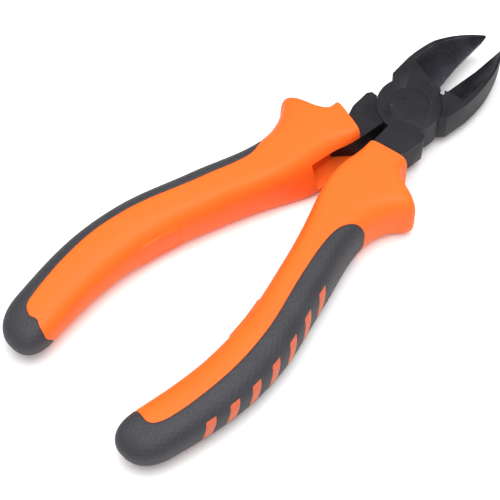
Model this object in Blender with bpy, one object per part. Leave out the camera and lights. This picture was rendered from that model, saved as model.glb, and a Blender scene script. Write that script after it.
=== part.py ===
"""Diagonal cutting pliers: two lap-jointed steel levers, a rivet, and two-colour moulded grips.

Frame: the pivot's axis is Z, the head's back face lies at z = 0, and +X runs from the pivot to the
jaws along the line that halves the opening. The front lever carries the jaw at +Y and the handle at
-Y, and its half of the lap is the front one. The rear lever is the same lever turned half a turn
about X. The pliers are modelled with the jaws resting slightly open.
"""

import math

import bmesh
import bpy
import numpy as np
from mathutils import Matrix

MM = 0.001

# Head
HEAD_THICKNESS = 9.6 * MM
LAP_GAP = 0.10 * MM  # between the two half-thickness discs
DISC_RADIUS = 9.2 * MM
DISC_GAP = 0.15 * MM  # round a disc, in the other lever's pocket
REST_OPENING = math.radians(9.5)  # between the two cutting edges
HALF_OPENING = REST_OPENING / 2
CUT_OFFSET = -0.4 * MM  # the cutting line passes the pivot on its -Y side, by this much

# The plans of a jaw and a tang overlap the disc: x of their two corners in it, as shares of its radius,
# and the outer corner's y
JAW_IN_DISC = (0.09, 0.45)
TANG_IN_DISC = (0.36, 0.6)
CORNER_IN_DISC = 0.7

# Jaws, given for the jaw at +Y
JAW_LENGTH = 35.1 * MM  # pivot to tip
JAW_HALF_WIDTH = DISC_RADIUS + 2.1 * MM
JAW_WIDEST = DISC_RADIUS + 2.4 * MM  # how far from the pivot the jaw is widest
JAW_SHOULDER = (4.4 * MM, DISC_RADIUS + 1.4 * MM)
JAW_BELLY = (JAW_LENGTH - 13.4 * MM, JAW_HALF_WIDTH + 0.1 * MM)  # handles of the jaw's outer curve
JAW_NOSE = (JAW_LENGTH - 5.2 * MM, 7.9 * MM)
SHOULDER_STEP = 2.1 * MM  # the shoulder runs back to the disc at 45 degrees over this length
EDGE_ROOT = DISC_RADIUS + 3.8 * MM  # where the cutting edge starts
EDGE_HEIGHT_ROOT = 2.4 * MM  # height of the cutting edge above the back face, at its root
EDGE_HEIGHT_TIP = 5.0 * MM
SCOOP_RIDGE = (EDGE_ROOT - 3.0 * MM, EDGE_ROOT - 0.7 * MM)  # the hollow's start, at split and rim
RIM_WIDTH = 1.5 * MM  # flat band left along the jaw's outer edge
RIM_NARROWING = 0.2  # share of that width left at the tip
BACK_BEVEL = 1.4 * MM
TAPER_START = JAW_LENGTH - 14.1 * MM  # from here both faces close in on the tip
TIP_WIDTH = 0.4 * MM  # blunt end of each jaw
TIP_FRONT_DROP = 3.7 * MM
TIP_BACK_RISE = 1.6 * MM
# Each lap disc reaches past the split with a lobe in the jaw's root. For the front lever's, the plan
# is (distance outside the disc's radius, height over the split)
ROOT_LOBE_PLAN = ((-5.2, 1.5), (-2.0, -4.2), (1.1, -2.6), (1.1, 1.5))
ROOT_LOBE = [(DISC_RADIUS + x * MM, y * MM) for x, y in ROOT_LOBE_PLAN]
LOBE_ROOM_END = EDGE_ROOT - 0.5 * MM  # the other lever gives way as far as this
LOBE_ROOM_SLANT = 2.0 * MM

# Rivet
RIVET_SHANK_RADIUS = 3.6 * MM
RIVET_HEAD_RADIUS = 5.6 * MM
RIVET_RIM = 0.6 * MM  # straight edge of each head
RIVET_CONE = 1.4 * MM
RIVET_CLEARANCE = 0.06 * MM

# Tangs, given for the handle at +Y
TANG_SHOULDER = (-4.4 * MM, DISC_RADIUS + 1.0 * MM)
TANG_FOOT = (0.2 * MM, -3.0 * MM)  # from the shoulder, inside the disc
TANG_CHAMFER = (-1.3 * MM, 0.8 * MM)  # from the shoulder, along the corner that is cut off it
TANG_OUTER = (-11.6 * MM, DISC_RADIUS + 1.4 * MM)
TANG_MOUTH = (-16.0 * MM, 8.8 * MM)  # its outer edge just inside the grip
TANG_SIDE_END = 17.0 * MM  # its inner edge follows the stop line as far as this
TANG_STOP_GAP = 0.30 * MM  # left between the tangs when the jaws have closed
PLATE_END = 27.0 * MM  # full head thickness as far as this
BAR_THICKNESS = 6.0 * MM
BAR_WIDTH = 6.4 * MM
BAR_SHORTFALL = 16.0 * MM  # the bar ends this far before the grip

# Grips: distances run back from the pivot along -X, widths outwards along +Y
GRIP_START = 15.0 * MM
GRIP_END = 129.0 * MM
HORN_BACK = 30.0 * MM  # the sections are closer together as far as this
HORN_END = 38.0 * MM  # past here the tables below are stretched if the grip's length changes
TABLES_END = 129.0 * MM  # the grip's length that the tables are written for
MOUTH_SLANT = 2.6 * MM  # the inner side of the mouth starts this much further back
MOUTH_SLANT_LENGTH = 14.0 * MM
GRIP_OUTER = (
    (15.0, 14.0),
    (18.5, 15.0),
    (20.5, 18.5),
    (22.0, 23.0),
    (24.0, 25.5),  # the horn
    (29.0, 22.5),
    (37.0, 20.5),  # the neck behind it
    (60.0, 26.5),
    (80.0, 32.5),
    (97.0, 34.0),  # the belly
    (129.0, 29.5),
)
GRIP_INNER = (
    (15.0, 1.5),
    (37.0, 3.5),
    (60.0, 11.0),
    (80.0, 16.5),
    (98.0, 18.0),
    (129.0, 14.5),
)
GRIP_HALF_THICKNESS = ((15.0, 9.0), (60.0, 9.0), (100.0, 7.0), (129.0, 5.5))
GRIP_LAND = 8.8 * MM  # the section is cut flat at this half thickness, to rest on
# Near the mouth the side towards the other handle leans: how far, at the land's height
GRIP_LEAN = ((15.0, 0.0), (19.0, 0.2), (26.0, 1.9), (35.0, 2.0), (46.0, 0.3), (60.0, 0.0), (129.0, 0.0))
GRIP_ROUNDNESS = 2.8  # exponent of the section: 2 is an ellipse
MOUTH_ROUNDNESS = 5.0  # the section is squarer at the mouth
MOUTH_LENGTH = 16.0 * MM  # over which it becomes rounder
INNER_LENGTH = 34.0 * MM  # the same on the side towards the other handle
END_ROUNDING = 10.5 * MM
END_ROUNDNESS = 2.4
END_BLUNT = 0.995  # the rounding stops at this share of its length, in a small flat
GRIP_FIT = 0.30 * MM  # round the tang
CHANNEL_END = 34.0 * MM  # the sleeve's inner side is open from the mouth to here
CHANNEL_DEPTH = 6.8 * MM

# Soft overmould on the grips
OVERMOULD_DEPTH = 1.9 * MM
OVERMOULD_GAP = 0.25 * MM
# Its border on the two faces, as distance back from the pivot and distance in from the outer edge
OVERMOULD_WIDE_BORDER = (
    (36.0, -6.0),
    (38.6, 0.8),
    (41.5, 3.8),
    (45.0, 5.6),
    (50.0, 6.7),
    (58.0, 7.5),
    (78.0, 7.6),
    (98.0, 7.4),
    (112.0, 6.9),
    (117.5, 7.4),
    (119.6, 9.2),
    (119.2, 13.0),
    (118.8, 17.0),
    (118.6, 24.0),
)
OVERMOULD_NARROW_BORDER = (
    (36.0, -6.0),
    (38.6, 0.5),
    (41.0, 2.4),
    (46.0, 4.4),
    (58.0, 5.0),
    (72.0, 4.8),
    (90.0, 4.2),
    (106.0, 4.4),
    (116.0, 4.8),
    (119.6, 5.6),
    (121.0, 8.0),
    (120.4, 10.4),
    (121.4, 13.5),
    (122.0, 24.0),
)
PAST_GRIP = 40 * MM  # how far the overmould's cutters reach outside the grip

# Smoothness
SMOOTH_BELOW = math.radians(28)  # edges with a smaller bend are shaded smooth
ROUND_SIDES = 64
OUTLINE_STEPS = 12
HORN_STATIONS = 12  # sections from the mouth to the back of the horn
GRIP_STATIONS = 20  # from there to the rounded end
END_STATIONS = 8
SECTION_POINTS = 24
BORDER_STEPS = 5  # points on the overmould's border for each one given

MIDDLE = HEAD_THICKNESS / 2
BAR_END = GRIP_END - BAR_SHORTFALL
PAST = 2 * MM  # how far a cutter reaches past what it cuts
TIP_CLEAR = 0.3 * MM  # how far the hollow's lower edge runs past the tip
SIDE_CLEAR = 0.1 * MM  # how far that edge stands off the jaw's side, which leaves a narrow honed land
TURN_OVER = Matrix.Translation((0, 0, MIDDLE)) @ Matrix.Rotation(math.pi, 4, "X")
TURN_OVER = TURN_OVER @ Matrix.Translation((0, 0, -MIDDLE))


def clear_scene():
    for obj in list(bpy.data.objects):
        bpy.data.objects.remove(obj, do_unlink=True)


def material(name, colour, roughness, metallic):
    made = bpy.data.materials.new(name)
    made.use_nodes = True
    shader = made.node_tree.nodes["Principled BSDF"]
    shader.inputs["Base Color"].default_value = (*colour, 1.0)
    shader.inputs["Roughness"].default_value = roughness
    shader.inputs["Metallic"].default_value = metallic
    return made


def object_from(name, bm):
    """Makes an object of the bmesh, with its normals pointing outwards, and frees the bmesh."""
    bmesh.ops.recalc_face_normals(bm, faces=bm.faces)
    mesh = bpy.data.meshes.new(name)
    bm.to_mesh(mesh)
    bm.free()
    obj = bpy.data.objects.new(name, mesh)
    bpy.context.scene.collection.objects.link(obj)
    return obj


def plate(name, outline, low, high):
    """A solid between two heights, whose plan is the closed outline."""
    bm = bmesh.new()
    corners = [bm.verts.new((x, y, low)) for x, y in outline]
    face = bm.faces.new(corners)
    lifted = bmesh.ops.extrude_face_region(bm, geom=[face])
    verts = [v for v in lifted["geom"] if isinstance(v, bmesh.types.BMVert)]
    bmesh.ops.translate(bm, verts=verts, vec=(0, 0, high - low))
    return object_from(name, bm)


def turned(name, profile):
    """A solid of revolution about Z, from (radius, height) pairs that start and end on the axis."""
    bm = bmesh.new()
    points = [bm.verts.new((radius, 0, height)) for radius, height in profile]
    edges = [bm.edges.new(pair) for pair in zip(points, points[1:])]
    bmesh.ops.spin(
        bm, geom=points + edges, cent=(0, 0, 0), axis=(0, 0, 1), angle=math.tau, steps=ROUND_SIDES
    )
    bmesh.ops.remove_doubles(bm, verts=bm.verts, dist=0.0001 * MM)
    return object_from(name, bm)


def disc(name, radius, low, high):
    around = [math.tau * i / ROUND_SIDES for i in range(ROUND_SIDES)]
    return plate(name, [(radius * math.cos(turn), radius * math.sin(turn)) for turn in around], low, high)


def hull(name, points):
    bm = bmesh.new()
    verts = [bm.verts.new(point) for point in points]
    made = bmesh.ops.convex_hull(bm, input=verts)
    bmesh.ops.delete(bm, geom=made["geom_interior"], context="VERTS")
    return object_from(name, bm)


def combine(obj, other, operation):
    """Applies one Boolean to obj and removes the other object."""
    step = obj.modifiers.new(operation.lower(), "BOOLEAN")
    step.operation = operation
    step.solver = "EXACT"
    step.object = other
    graph = bpy.context.evaluated_depsgraph_get()
    mesh = bpy.data.meshes.new_from_object(obj.evaluated_get(graph))
    obj.modifiers.clear()
    obj.data = mesh
    bpy.data.objects.remove(other, do_unlink=True)
    return obj


def turn_over(obj):
    """Turns the object half a turn about the line through the pivot along X, at mid thickness."""
    obj.data.transform(TURN_OVER)
    return obj


def finish(obj, name, made_of):
    obj.name = name
    obj.data.name = name
    obj.data.shade_smooth()
    obj.data.set_sharp_from_angle(angle=SMOOTH_BELOW)
    obj.data.materials.clear()
    obj.data.materials.append(made_of)
    return obj


def fitted(points):
    """(distance, value) pairs in mm as metres, stretched past the horn to the grip's own length."""
    known = np.array(points) * MM
    stretch = (GRIP_END - HORN_END) / (TABLES_END - HORN_END)
    known[:, 0] += np.maximum(known[:, 0] - HORN_END, 0) * (stretch - 1)
    return known


def curve_through(points, at):
    """The smooth curve through (distance, value) pairs in mm, read at distances in metres."""
    known = fitted(points)
    where, value = known[:, 0], known[:, 1]
    rise = np.diff(value) / np.diff(where)
    slope = np.empty(len(value))
    slope[1:-1] = (rise[:-1] + rise[1:]) / 2
    slope[0], slope[-1] = rise[0], rise[-1]
    at = np.clip(at, where[0], where[-1])
    i = np.clip(np.searchsorted(where, at, side="right") - 1, 0, len(rise) - 1)
    length = where[i + 1] - where[i]
    t = (at - where[i]) / length
    start = (1 + 2 * t) * (1 - t) ** 2 * value[i] + t * (1 - t) ** 2 * length * slope[i]
    end = t**2 * (3 - 2 * t) * value[i + 1] + t**2 * (t - 1) * length * slope[i + 1]
    return start + end


def smooth_line(points, steps):
    """A smooth open line through (x, y) points, by Catmull-Rom's rule."""
    known = np.array(points)
    ends = np.concatenate([[2 * known[0] - known[1]], known, [2 * known[-1] - known[-2]]])
    t = np.linspace(0, 1, steps, endpoint=False)[:, None]
    spans = []
    for before, start, end, after in zip(ends, ends[1:], ends[2:], ends[3:]):
        bend = 2 * before - 5 * start + 4 * end - after
        twist = 3 * (start - end) + after - before
        spans.append(start + t * (end - before) / 2 + t**2 * bend / 2 + t**3 * twist / 2)
    return np.concatenate([*spans, known[-1:]])


def bezier(start, first, second, end, steps):
    t = np.linspace(0, 1, steps + 1)[:, None]
    corners = (np.array(point) for point in (start, first, second, end))
    weights = ((1 - t) ** 3, 3 * t * (1 - t) ** 2, 3 * t**2 * (1 - t), t**3)
    return sum(weight * corner for weight, corner in zip(weights, corners))


# ---- Levers -------------------------------------------------------------------------------------


def edge_side(x, offset):
    """How far a cutting edge lies from the X axis at rest, on the jaw's own side."""
    return x * math.tan(HALF_OPENING) + offset


def edge_height(x):
    share = (x - EDGE_ROOT) / (JAW_LENGTH - EDGE_ROOT)
    return EDGE_HEIGHT_ROOT + share * (EDGE_HEIGHT_TIP - EDGE_HEIGHT_ROOT)


def jaw_back(offset, steps):
    """The jaw's outer edge, from its widest point to the tip."""
    tip = (JAW_LENGTH, edge_side(JAW_LENGTH, offset) + TIP_WIDTH)
    return bezier((JAW_WIDEST, JAW_HALF_WIDTH), JAW_BELLY, JAW_NOSE, tip, steps)


def jaw_outline(offset):
    """The jaw's plan, with its inner corner inside the disc, where the two join."""
    outer, inner = (DISC_RADIUS * share for share in JAW_IN_DISC)
    foot = (JAW_SHOULDER[0] - SHOULDER_STEP, JAW_SHOULDER[1] - SHOULDER_STEP)
    corners = [(inner, edge_side(inner, offset)), (outer, DISC_RADIUS * CORNER_IN_DISC)]
    start = [*corners, foot, JAW_SHOULDER]
    back = [tuple(point) for point in jaw_back(offset, OUTLINE_STEPS)]
    return start + back + [(JAW_LENGTH, edge_side(JAW_LENGTH, offset))]


def rim_points(offset, count):
    """Points a rim width inside the jaw's outer edge, from the hollow's ridge to the tip."""
    back = jaw_back(offset, 200)
    along = np.gradient(back, axis=0)
    inward = np.stack([along[:, 1], -along[:, 0]], axis=1)
    inward /= np.linalg.norm(inward, axis=1)[:, None]
    narrowing = np.linspace(1, RIM_NARROWING, len(back))[:, None]
    rim = back + inward * RIM_WIDTH * narrowing
    rim = rim[rim[:, 0] > SCOOP_RIDGE[1]]
    return rim[np.linspace(0, len(rim) - 1, count).astype(int)]


def front_scoop(name, offset):
    """The hollow ground into the jaw's front, down to the cutting edge."""
    front = HEAD_THICKNESS
    tip, beyond = JAW_LENGTH + TIP_CLEAR, JAW_LENGTH + PAST
    edge = [(x, edge_side(x, offset) - SIDE_CLEAR, edge_height(x)) for x in (EDGE_ROOT, tip)]
    across = -2 * PAST
    border = [(SCOOP_RIDGE[0], across), *rim_points(offset, 8), (beyond, across)]
    top = [(x, y, z) for x, y in border for z in (front, front + PAST)]
    near_side = [(x, y + across, z) for (_, y, z), x in zip(edge, (EDGE_ROOT, beyond))]
    return hull(name, edge + near_side + top)


def back_bevel(name, offset):
    """The narrow bevel from the cutting edge to the jaw's back face."""
    points = []
    for x in (EDGE_ROOT, JAW_LENGTH + PAST):
        side = edge_side(x, offset)
        steepness = edge_height(x) / BACK_BEVEL
        ends = (side - BACK_BEVEL, side + BACK_BEVEL + PAST / steepness)
        points += [(x, y, (side + BACK_BEVEL - y) * steepness) for y in ends]
        points += [(x, side - BACK_BEVEL, -PAST)]
    return hull(name, points)


def tip_wedge(name, side_height, tip_height, outer_height):
    """What is cut away so that a face closes in on the tip."""
    x_low, x_high = TAPER_START, JAW_LENGTH
    slope = (tip_height - side_height) / (x_high - x_low)
    x_high += PAST
    corners = [
        (x_low, side_height),
        (x_high, side_height + slope * (x_high - x_low)),
        (x_high, outer_height),
        (x_low, outer_height),
    ]
    wide = JAW_HALF_WIDTH + PAST
    return hull(name, [(x, y, z) for x, z in corners for y in (-wide, wide)])


def stop_side(x):
    """Half the gap between the two handles at a distance back from the pivot, at rest."""
    return x * math.tan(HALF_OPENING) + TANG_STOP_GAP / 2


def centre_line(distance):
    return (curve_through(GRIP_OUTER, distance) + curve_through(GRIP_INNER, distance)) / 2


def bar_edges(extra=0.0):
    """The steel bar inside the grip, as its outer edge and its inner edge, each from front to back."""
    distance = np.linspace(PLATE_END - 3 * MM, BAR_END + extra, 16)
    middle = centre_line(distance)
    slope = np.gradient(middle, distance)
    along = np.stack([-np.ones_like(slope), slope], axis=1)
    along /= np.linalg.norm(along, axis=1)[:, None]
    across = np.stack([along[:, 1], -along[:, 0]], axis=1)
    line = np.stack([-distance, middle], axis=1)
    half = BAR_WIDTH / 2 + extra
    return line + across * half, line - across * half


def bar_outline(extra=0.0):
    outer, inner = bar_edges(extra)
    return [tuple(point) for point in np.concatenate([outer, inner[::-1]])]


def tang_outline(extra=0.0):
    """The full-thickness tang's plan, from inside the disc into the grip, grown by extra."""
    outer, inner = (DISC_RADIUS * share for share in TANG_IN_DISC)
    foot = (TANG_SHOULDER[0] + TANG_FOOT[0], TANG_SHOULDER[1] + TANG_FOOT[1])
    end = -PLATE_END - extra
    middle = centre_line(PLATE_END)
    half = BAR_WIDTH / 2 + extra
    return [
        (-outer, DISC_RADIUS * CORNER_IN_DISC),
        foot,
        (TANG_SHOULDER[0], TANG_SHOULDER[1] + extra),
        (TANG_SHOULDER[0] + TANG_CHAMFER[0], TANG_SHOULDER[1] + TANG_CHAMFER[1] + extra),
        (TANG_OUTER[0], TANG_OUTER[1] + extra),
        (TANG_MOUTH[0], TANG_MOUTH[1] + extra),
        (end, middle + half),
        (end, middle - half),
        (-TANG_SIDE_END, stop_side(TANG_SIDE_END) - extra),
        (-inner, stop_side(inner) - extra),
    ]


def lobe_room():
    """What the other lever gives up so that the lobe can close into it."""
    turn = -REST_OPENING
    cos, sin = math.cos(turn), math.sin(turn)
    left, right = ((x * cos - y * sin, x * sin + y * cos - DISC_GAP) for x, y in ROOT_LOBE[1:3])
    slant_top = (LOBE_ROOM_END, right[1] + LOBE_ROOM_SLANT)
    return [(ROOT_LOBE[0][0], PAST), left, right, slant_top, (LOBE_ROOM_END, PAST)]


def opposite(points):
    """The same outline on the other side of the X axis."""
    return [(x, -y) for x, y in reversed(points)]


def rivet_profile(extra=0.0):
    """Half the rivet's section, as (radius, height) from the back face to the front."""
    head = RIVET_HEAD_RADIUS + extra
    shank = RIVET_SHANK_RADIUS + extra
    top = HEAD_THICKNESS
    return [
        (head, 0),
        (head, RIVET_RIM),
        (shank, RIVET_RIM + RIVET_CONE),
        (shank, top - RIVET_RIM - RIVET_CONE),
        (head, top - RIVET_RIM),
        (head, top),
    ]


def rivet_hole(name):
    profile = rivet_profile(RIVET_CLEARANCE)
    radius = profile[0][0]
    low, high = -PAST, HEAD_THICKNESS + PAST
    return turned(name, [(0, low), (radius, low), *profile, (radius, high), (0, high)])


def lever_blank(name, jaw, tang, bar, lobe, room, lap, cut):
    """Jaw, tang and bar joined by a half-thickness disc, with the other lever's disc cut out.

    lap and cut are the lowest and highest level of the lever's own lap and of the other one's.
    """
    body = plate(name, jaw, 0, HEAD_THICKNESS)
    combine(body, plate("tang", tang, 0, HEAD_THICKNESS), "UNION")
    combine(body, disc("pocket", DISC_RADIUS + DISC_GAP, *cut), "DIFFERENCE")
    combine(body, plate("lobe_room", room, *cut), "DIFFERENCE")
    combine(body, disc("lap", DISC_RADIUS, *lap), "UNION")
    combine(body, plate("lobe", lobe, *lap), "UNION")
    low, high = MIDDLE - BAR_THICKNESS / 2, MIDDLE + BAR_THICKNESS / 2
    combine(body, plate("bar", bar, low, high), "UNION")
    combine(body, rivet_hole("rivet_hole"), "DIFFERENCE")
    return body


def grind_jaw(body, offset, mirrored):
    """Cuts the hollow, the back bevel and the tip's taper, all on the same faces for both jaws."""
    side = Matrix.Scale(-1, 4, (0, 1, 0))
    front, back = HEAD_THICKNESS, 0
    cutters = [
        front_scoop("scoop", offset),
        back_bevel("bevel", offset),
        tip_wedge("front_taper", front, front - TIP_FRONT_DROP, front + PAST),
        tip_wedge("back_taper", back, back + TIP_BACK_RISE, back - PAST),
    ]
    for cutter in cutters:
        if mirrored:
            cutter.data.transform(side)
            cutter.data.flip_normals()
        combine(body, cutter, "DIFFERENCE")
    return body


def front_lever():
    floor = MIDDLE + LAP_GAP / 2
    body = lever_blank(
        "front_lever",
        jaw_outline(CUT_OFFSET),
        opposite(tang_outline()),
        opposite(bar_outline()),
        ROOT_LOBE,
        opposite(lobe_room()),
        (floor, HEAD_THICKNESS),
        (-PAST, floor),
    )
    return grind_jaw(body, CUT_OFFSET, mirrored=False)


def rear_lever():
    ceiling = MIDDLE - LAP_GAP / 2
    body = lever_blank(
        "rear_lever",
        opposite(jaw_outline(-CUT_OFFSET)),
        tang_outline(),
        bar_outline(),
        opposite(ROOT_LOBE),
        lobe_room(),
        (0, ceiling),
        (ceiling, HEAD_THICKNESS + PAST),
    )
    return grind_jaw(body, -CUT_OFFSET, mirrored=True)


# ---- Grips --------------------------------------------------------------------------------------


def grip_stations(start, end):
    """Distances back from the pivot, close together over the horn and where the end rounds over."""
    horn = np.linspace(start, HORN_BACK, HORN_STATIONS, endpoint=False)
    straight = np.linspace(HORN_BACK, end - END_ROUNDING, GRIP_STATIONS)
    rounding = np.sin(np.linspace(0, math.pi / 2, END_STATIONS + 1))[1:]
    return np.concatenate([horn, straight, end - END_ROUNDING + END_ROUNDING * rounding])


def grip_shell(name, inset=0.0):
    """The grip's outer form for the handle at +Y, closed at both ends, drawn in by inset.

    Each section is a superellipse cut flat at the rest land. Its two sides follow the outer and the
    inner outline, and the inner one leans. Over the last stretch its width and height shrink to a
    rounded end.
    """
    start, end = GRIP_START - (PAST if inset else 0), GRIP_END - inset
    distance = grip_stations(start, end)
    outer = curve_through(GRIP_OUTER, distance)
    inner = curve_through(GRIP_INNER, distance)
    into_end = np.clip((distance - (end - END_ROUNDING)) / END_ROUNDING, 0, END_BLUNT)
    shrink = (1 - into_end**END_ROUNDNESS) ** (1 / END_ROUNDNESS)
    centre = (outer + inner) / 2
    half_width = ((outer - inner) / 2 - inset) * shrink
    thick = (curve_through(GRIP_HALF_THICKNESS, distance) - inset) * shrink
    angle = np.linspace(0, math.tau, SECTION_POINTS, endpoint=False)
    length = np.where(np.cos(angle) < 0, INNER_LENGTH, MOUTH_LENGTH)
    squareness = np.clip(1 - (distance - GRIP_START)[:, None] / length, 0, 1)
    power = 2 / (GRIP_ROUNDNESS + (MOUTH_ROUNDNESS - GRIP_ROUNDNESS) * squareness)
    across = np.sign(np.cos(angle)) * np.abs(np.cos(angle)) ** power
    up = np.sign(np.sin(angle)) * np.abs(np.sin(angle)) ** power
    height = np.clip(thick[:, None] * up, inset - GRIP_LAND, GRIP_LAND - inset)
    lean = curve_through(GRIP_LEAN, distance)[:, None] * height / GRIP_LAND
    y = centre[:, None] + half_width[:, None] * across + lean * (1 - across) / 2
    z = height + MIDDLE
    slant = MOUTH_SLANT * np.clip(1 - (distance - GRIP_START) / MOUTH_SLANT_LENGTH, 0, 1)
    x = -(distance[:, None] + slant[:, None] * (1 - across) / 2)
    bm = bmesh.new()
    rings = [
        [bm.verts.new(point) for point in zip(*ring)] for ring in zip(x.tolist(), y.tolist(), z.tolist())
    ]
    for ring, following in zip(rings, rings[1:]):
        for i in range(SECTION_POINTS):
            j = (i + 1) % SECTION_POINTS
            bm.faces.new((ring[i], ring[j], following[j], following[i]))
    bm.faces.new(rings[0])
    bm.faces.new(rings[-1])
    return object_from(name, bm)


def overmould_plan(border, grow):
    """The plan of the overmould's half: everything outside its border line, to past the grip."""
    distance, depth = smooth_line(fitted(border), BORDER_STEPS).T
    line_y = curve_through(GRIP_OUTER, distance) - depth
    line = np.stack([-distance, line_y], axis=1)
    along = np.gradient(line, axis=0)
    along /= np.linalg.norm(along, axis=1)[:, None]
    inward = np.stack([-along[:, 1], along[:, 0]], axis=1)
    line = line + inward * grow
    outside = [
        (-GRIP_END - PAST_GRIP, line[-1, 1]),
        (-GRIP_END - PAST_GRIP, line[0, 1] + PAST_GRIP),
        (line[0, 0], line[0, 1] + PAST_GRIP),
    ]
    return [tuple(point) for point in line] + outside


def overmould_space(name, grow=0.0):
    """The space outside the border lines of the front and the back half."""
    reach = HEAD_THICKNESS * 2
    space = plate(name, overmould_plan(OVERMOULD_NARROW_BORDER, grow), MIDDLE, MIDDLE + reach)
    back = plate("back_half", overmould_plan(OVERMOULD_WIDE_BORDER, grow), MIDDLE - reach, MIDDLE)
    return combine(space, back, "UNION")


def overmould():
    """The soft outer layer: the grip's form inside its border lines, hollowed for the core."""
    body = grip_shell("overmould")
    combine(body, overmould_space("space"), "INTERSECT")
    return combine(body, grip_shell("hollow", OVERMOULD_DEPTH), "DIFFERENCE")


def tang_space(name):
    """The room in the grip for the tang and its bar, open towards the other handle at the mouth."""
    half = HEAD_THICKNESS / 2 + GRIP_FIT
    plan = tang_outline(GRIP_FIT)
    space = plate(name, plan, MIDDLE - half, MIDDLE + half)
    slot = [
        (-GRIP_START + PAST, -PAST),
        (-GRIP_START + PAST, CHANNEL_DEPTH),
        (-CHANNEL_END, CHANNEL_DEPTH),
        (-CHANNEL_END, -PAST),
    ]
    combine(space, plate("channel", slot[::-1], MIDDLE - half, MIDDLE + half), "UNION")
    half = BAR_THICKNESS / 2 + GRIP_FIT
    return combine(space, plate("bar_room", bar_outline(GRIP_FIT), MIDDLE - half, MIDDLE + half), "UNION")


def grip_core():
    """The firm sleeve: the grip's form less the overmould, with the tang's room inside."""
    body = grip_shell("core")
    around = overmould_space("around", OVERMOULD_GAP)
    kept = grip_shell("kept", OVERMOULD_DEPTH + OVERMOULD_GAP)
    combine(around, kept, "DIFFERENCE")
    combine(body, around, "DIFFERENCE")
    return combine(body, tang_space("tang_space"), "DIFFERENCE")


def main():
    clear_scene()
    steel = material("black_phosphated_steel", (0.032, 0.031, 0.034), 0.45, 0.85)
    orange = material("orange_polypropylene", (0.95, 0.26, 0.055), 0.42, 0.0)
    grey = material("grey_soft_elastomer", (0.085, 0.082, 0.092), 0.62, 0.0)

    finish(front_lever(), "front_lever", steel)
    finish(rear_lever(), "rear_lever", steel)
    rivet = turned("pivot_rivet", [(0, 0), *rivet_profile(), (0, HEAD_THICKNESS)])
    finish(rivet, "pivot_rivet", steel)

    finish(grip_core(), "rear_grip_core", orange)
    finish(overmould(), "rear_grip_overmould", grey)
    finish(turn_over(grip_core()), "front_grip_core", orange)
    finish(turn_over(overmould()), "front_grip_overmould", grey)


main()
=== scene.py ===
"""Diagonal cutting pliers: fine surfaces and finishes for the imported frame.

The frame is in metres, with the pivot's axis along Z through the origin, the head's back face at z = 0
and the jaws towards +X. Shapes here are worked out in millimetres and scaled once, when a mesh is made.
A grip is worked out for the handle at +Y, which is the rear half's. The front half's is turned over.
"""

import math

import bmesh
import bpy
import numpy as np
from bpy.props import FloatProperty, FloatVectorProperty, IntProperty, PointerProperty, StringProperty
from mathutils import Matrix, Vector


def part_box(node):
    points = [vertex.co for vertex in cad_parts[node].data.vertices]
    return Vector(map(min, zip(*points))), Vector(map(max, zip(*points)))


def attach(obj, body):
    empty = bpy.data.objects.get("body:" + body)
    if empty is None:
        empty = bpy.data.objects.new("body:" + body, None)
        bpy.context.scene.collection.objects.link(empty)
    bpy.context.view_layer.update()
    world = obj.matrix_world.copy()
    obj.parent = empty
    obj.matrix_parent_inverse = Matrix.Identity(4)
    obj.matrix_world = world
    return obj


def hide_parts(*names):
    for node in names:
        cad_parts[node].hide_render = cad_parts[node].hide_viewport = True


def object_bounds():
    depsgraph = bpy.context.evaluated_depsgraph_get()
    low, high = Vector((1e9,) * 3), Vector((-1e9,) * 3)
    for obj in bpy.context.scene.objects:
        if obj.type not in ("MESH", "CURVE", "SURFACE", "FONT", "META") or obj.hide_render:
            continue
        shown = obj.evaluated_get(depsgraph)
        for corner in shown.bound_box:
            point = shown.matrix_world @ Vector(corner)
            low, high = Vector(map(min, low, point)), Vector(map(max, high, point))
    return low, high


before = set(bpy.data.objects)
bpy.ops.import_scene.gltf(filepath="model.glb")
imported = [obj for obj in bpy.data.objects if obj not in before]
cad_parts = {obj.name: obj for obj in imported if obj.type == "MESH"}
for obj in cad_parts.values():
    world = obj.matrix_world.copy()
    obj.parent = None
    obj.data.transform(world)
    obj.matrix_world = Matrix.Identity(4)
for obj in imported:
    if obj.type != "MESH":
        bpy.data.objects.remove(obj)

bl_info = {
    "name": "Diagonal cutting pliers",
    "version": (1, 0, 0),
    "blender": (4, 5, 0),
    "location": "3D View > Sidebar > Pliers",
    "description": "Ground steel levers, a rivet and moulded grips on the packed frame",
    "category": "Add Mesh",
}

MM = 0.001
CAD_LOW, CAD_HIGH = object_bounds()
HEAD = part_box("pivot_rivet")[1].z / MM  # thickness of the head
MIDDLE = HEAD / 2
RIVET_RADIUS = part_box("pivot_rivet")[1].x / MM
REAR, FRONT = "rear_half", "front_half"

# Grip outline: (distance back from the pivot, width out from the X axis)
GRIP_OUTER = (
    (15.0, 14.0), (18.5, 15.0), (20.5, 18.5), (22.0, 23.0), (24.0, 25.5), (29.0, 22.5), (37.0, 20.5),
    (60.0, 26.5), (80.0, 32.5), (97.0, 34.0), (129.0, 29.5),
)
GRIP_INNER = ((15.0, 1.5), (37.0, 3.5), (60.0, 11.0), (80.0, 16.5), (98.0, 18.0), (129.0, 14.5))
GRIP_HALF_THICKNESS = ((15.0, 9.0), (60.0, 9.0), (100.0, 7.0), (129.0, 5.5))
GRIP_START, GRIP_END = GRIP_OUTER[0][0], GRIP_OUTER[-1][0]
GRIP_LAND = 8.8  # the section is flattened at this half thickness
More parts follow.
